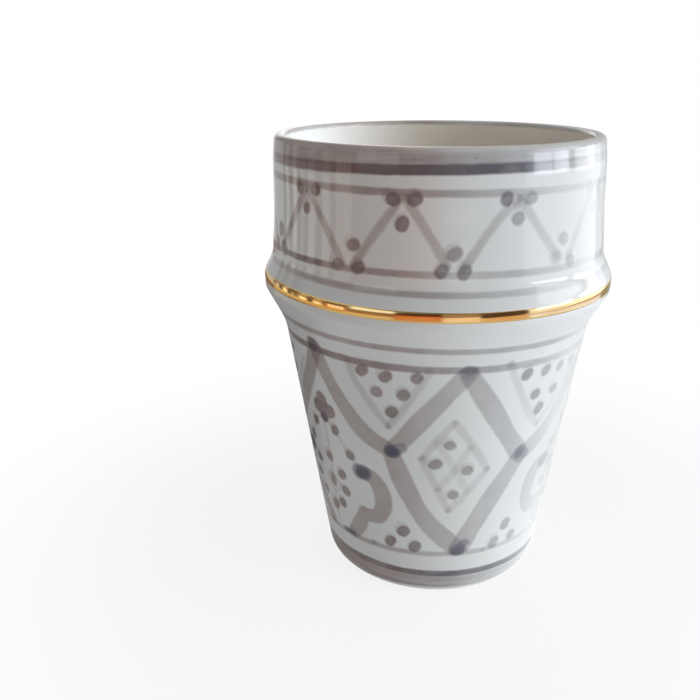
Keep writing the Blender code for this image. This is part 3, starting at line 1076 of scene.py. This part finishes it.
AMBIENT = (0.293, 0.282, 0.277, 1.0)
world = bpy.data.worlds.new("studio")
world.use_nodes = True
scene.world = world
sky = Finish("background", world.node_tree)
shown = 0.0
for ray in ("Is Transmission Ray", "Is Glossy Ray", "Is Camera Ray"):
    wire = sky.node("LightPath", output=ray)
    shown = wire.math("MAXIMUM", wire, shown)
sky_colour = sky.blend(shown, AMBIENT, PLAIN_WHITE)
sky.end({"Color": sky_colour}, "Background", "World")
scene.view_settings.view_transform = "Standard"

# %% [markdown]
# ## Lamps
# A large cool window at the right lights the cup. The white table throws some of that light back, which
# two low lamps stand for, and a fill keeps the far side from going dark. Two small lamps give the mouth
# the warm dusk and the pale patch that light bouncing between its walls makes there. None of them is
# mirrored: a square lamp would show as a hard white patch on the glaze.

# %% Set the lamps
# Each lamp: name, place, point it faces, size, power, tint.
LAMPS = [
    ("window", (0.50, -0.24, 0.36), (0.0, 0.0, 0.06), 0.5, 1.98, (0.94, 1.0, 1.06)),
    ("table_bounce", (0.12, -0.10, 0.015), (0.0, 0.0, 0.01), 0.12, 0.100, (0.95, 1.0, 1.04)),
    ("left_bounce", (-0.18, -0.05, 0.015), (0.0, 0.0, 0.04), 0.2, 0.050, (1.0, 0.985, 0.97)),
    ("back_fill", (-0.15, 0.45, 0.08), (0.0, 0.0, 0.05), 0.4, 0.8, (1.0, 1.0, 1.0)),
    ("mouth", (0.012, -0.012, 0.17), (0.0, 0.0, 0.0), 0.06, 0.0098, (1.0, 0.82, 0.58)),
    ("inner_patch", (-0.014, 0.005, 0.105), (-0.033, 0.014, 0.104), 0.014, 0.0047, (0.83, 1.0, 1.20)),
]


def aim(place, target):
    """A placing matrix whose -Z axis points from the place to the target."""
    way = Vector(target) - Vector(place)
    return Matrix.Translation(place) @ way.to_track_quat("-Z", "Y").to_matrix().to_4x4()


for name, place, target, size, power, tint in LAMPS:
    light = bpy.data.lights.new(name, "AREA")
    light.shape = "SQUARE"
    light.size = size
    light.energy = power
    light.color = tint
    lamp = bpy.data.objects.new(name, light)
    lamp.matrix_world = aim(place, target)
    lamp.visible_glossy = False
    lamp.visible_camera = False
    scene.collection.objects.link(lamp)
print("lamps:", len(LAMPS))

# %% [markdown]
# ## A light tent for the reflections
# Photographers put shiny things in a tent of white cloth, so that they mirror soft light and not the
# room. This tent is a bowl and a wall round the cup. Only reflections see it. Its brightness changes
# round the cup: bright at the window's side, dim on the other, with darker and lighter panels, panes
# and slats that give the glaze its gloss and the gold its contrast.

# %% Choose the panels
# Brightness is given at these degrees from the front. Levels are metres up the wall, or below 0 inwards.
TENT_TURN = [-180, -150, -110, -75, -35, 5, 45, 90, 130, 165, 180]
# Each zone: low and high level, and its brightness at each turn.
ZONES = [
    (-1.0, -0.385, [0.3, 0.3, 0.3, 0.3, 0.4, 0.8, 1.5, 1.2, 0.7, 0.8, 0.3]),
    (-0.385, -0.2, [0.2, 0.2, 0.0, 0.6, 0.5, 0.6, 0.6, 0.7, 0.85, 0.85, 0.2]),
    (-0.2, 0.0, [0.5, 0.5, 0.5, 0.5, 0.5, 0.5, 0.5, 0.6, 0.6, 0.5, 0.5]),
    (0.0, 0.15, [1.4, 0.5, 0.7, 0.7, 0.15, 0.1, 0.4, 1.0, 0.8, 0.4, 1.4]),
    (0.15, 3.0, [1.9, 0.3, 0.6, 0.6, 0.2, 0.1, 0.3, 0.8, 0.6, 0.5, 1.9]),
]
# Each panel: from and to, in degrees; low and high level; colour.
PANELS = [
    (-165, -130, -0.2, 0.0, (0.25, 0.15, 0.08)),
    (-130, -60, -0.2, 0.0, (0.66, 0.47, 0.24)),
    (-60, -29, -0.2, 0.0, (0.73, 0.58, 0.4)),
    (-29, -1, -0.2, 0.0, (0.62, 0.27, 0.11)),
    (-1, 21, -0.2, 0.045, (0.95, 0.78, 0.7)),
    (21, 51, -0.2, -0.06, (0.75, 0.5, 0.33)),
    (51, 118, -0.2, -0.15, (1.05, 1.25, 1.9)),
    (51, 118, -0.15, -0.07, (0.55, 0.3, 0.12)),
    (51, 118, -0.07, 0.0, (1.4, 1.6, 2.2)),
    (118, 140, -0.2, 0.0, (0.36, 0.34, 0.26)),
    (-57, -29, 0.0, 0.1, (0.32, 0.18, 0.11)),
    (-29, -1, 0.0, 0.1, (0.55, 0.16, 0.06)),
    (-26, -4, 0.012, 0.035, (0.85, 0.42, 0.22)),
    (-29, -1, 0.1, 0.2, (0.08, 0.03, 0.02)),
    (-1, 21, 0.05, 0.27, (0.35, 0.25, 0.18)),
    (21, 51, -0.06, 0.2, (0.09, 0.055, 0.045)),
    (51, 80, 0.0, 0.07, (1.0, 1.08, 1.35)),
    (80, 100, 0.0, 0.07, (1.4, 1.44, 1.6)),
    (100, 122, 0.0, 0.07, (1.8, 1.8, 1.9)),
    (51, 84, 0.07, 0.27, (1.1, 1.2, 1.5)),
    (91, 116, 0.075, 0.11, (3.5, 3.5, 3.6)),
    (91, 116, 0.11, 0.155, (5.5, 5.5, 5.7)),
    (116, 127, 0.045, 0.15, (1.6, 1.6, 1.7)),
    (62, 100, 0.18, 0.31, (3.4, 3.4, 3.5)),
    (-57, -29, 0.13, 0.27, (1.05, 1.12, 1.25)),
    (-130, -57, 0.02, 0.08, (0.08, 0.05, 0.04)),
    (-130, -57, 0.08, 0.22, (0.16, 0.12, 0.1)),
    (-105, -102, 0.02, 0.08, (0.8, 0.6, 0.48)),
    (56.5, 70.5, 0.091, 0.14, (6.6, 6.6, 7.4)),
    (71.5, 85, 0.091, 0.14, (6.6, 6.6, 7.4)),
    (-75, -58, 0.0, 0.12, (0.5, 0.17, 0.06)),
]
# Each slat at the left: from and to, its colour low down and its colour above.
SLATS = [
    (-126, -121, (0.9, 0.84, 0.76), (0.48, 0.44, 0.4)),
    (-115, -110, (1.5, 1.3, 1.05), (0.6, 0.5, 0.42)),
    (-97, -90, (1.5, 1.3, 1.05), (0.55, 0.46, 0.38)),
    (-84, -77, (1.5, 1.3, 1.05), (0.55, 0.46, 0.38)),
]
for start, end, low_colour, high_colour in SLATS:
    PANELS += [(start, end, 0.02, 0.08, low_colour), (start, end, 0.08, 0.22, high_colour)]
PANELS += [(turn - 0.7, turn + 0.7, 0.02, 0.12, (2.0, 1.8, 1.6)) for turn in (-71, -68, -65, -62)]
print("tent panels:", len(PANELS))

# %% Raise the tent
TENT_LINE = np.array([(0.026, 0.0012), (0.44, 0.0012), (0.45, 0.45), (0.30, 0.70), (0.0, 0.75)])
TENT_COLUMNS, TENT_ROWS = 720, 200
ZONE_SOFT = 0.02
PANEL_SOFT_TURN, PANEL_SOFT_UP = 1.8, 0.012


def window_of(value, low, high, soft):
    """1 between low and high and 0 outside, with straight edges as wide as soft."""
    return np.clip((value - low) / soft + 0.5, 0.0, 1.0) * np.clip((high - value) / soft + 0.5, 0.0, 1.0)


walk = path_length(TENT_LINE)
share = np.linspace(0.0, walk[-1], TENT_ROWS)[:, None]
tent_reach = np.interp(share, walk, TENT_LINE[:, 0])
tent_height = np.interp(share, walk, TENT_LINE[:, 1])
level = share - walk[1]
degrees = np.linspace(-180.0, 180.0, TENT_COLUMNS, endpoint=False)
tent_turn = np.radians(degrees)
glow = np.zeros((TENT_ROWS, TENT_COLUMNS, 3))
for low_edge, high_edge, brightness in ZONES:
    zone_light = np.interp(degrees, TENT_TURN, brightness)
    glow += (window_of(level, low_edge, high_edge, ZONE_SOFT) * zone_light)[..., None]
for start, end, low_edge, high_edge, panel_colour in PANELS:
    shown_share = window_of(degrees, start, end, PANEL_SOFT_TURN)
    shown_share = shown_share * window_of(level, low_edge, high_edge, PANEL_SOFT_UP)
    glow = glow + shown_share[..., None] * (np.array(panel_colour) - glow)
tent_points = np.stack(
    [tent_reach * np.sin(tent_turn), -tent_reach * np.cos(tent_turn), tent_height + 0 * tent_turn], axis=-1)
tent_quads = ring_quads(TENT_ROWS, TENT_COLUMNS)
tent = mesh_piece("light_tent", tent_points.reshape(-1, 3), tent_quads, no_triangles)
opaque = np.pad(glow, ((0, 0), (0, 0), (0, 1)), constant_values=1.0)
tent.data.attributes.new("glow", "FLOAT_COLOR", "POINT").data.foreach_set("color", opaque.ravel())
tent_material, cloth = new_material("tent cloth")
cloth.end({"Color": cloth.attribute("glow", "Color")}, "Emission")
tent_material.cycles.emission_sampling = "NONE"
tent.data.materials.append(tent_material)
for ray in ("camera", "diffuse", "transmission", "volume_scatter", "shadow"):
    setattr(tent, "visible_" + ray, False)
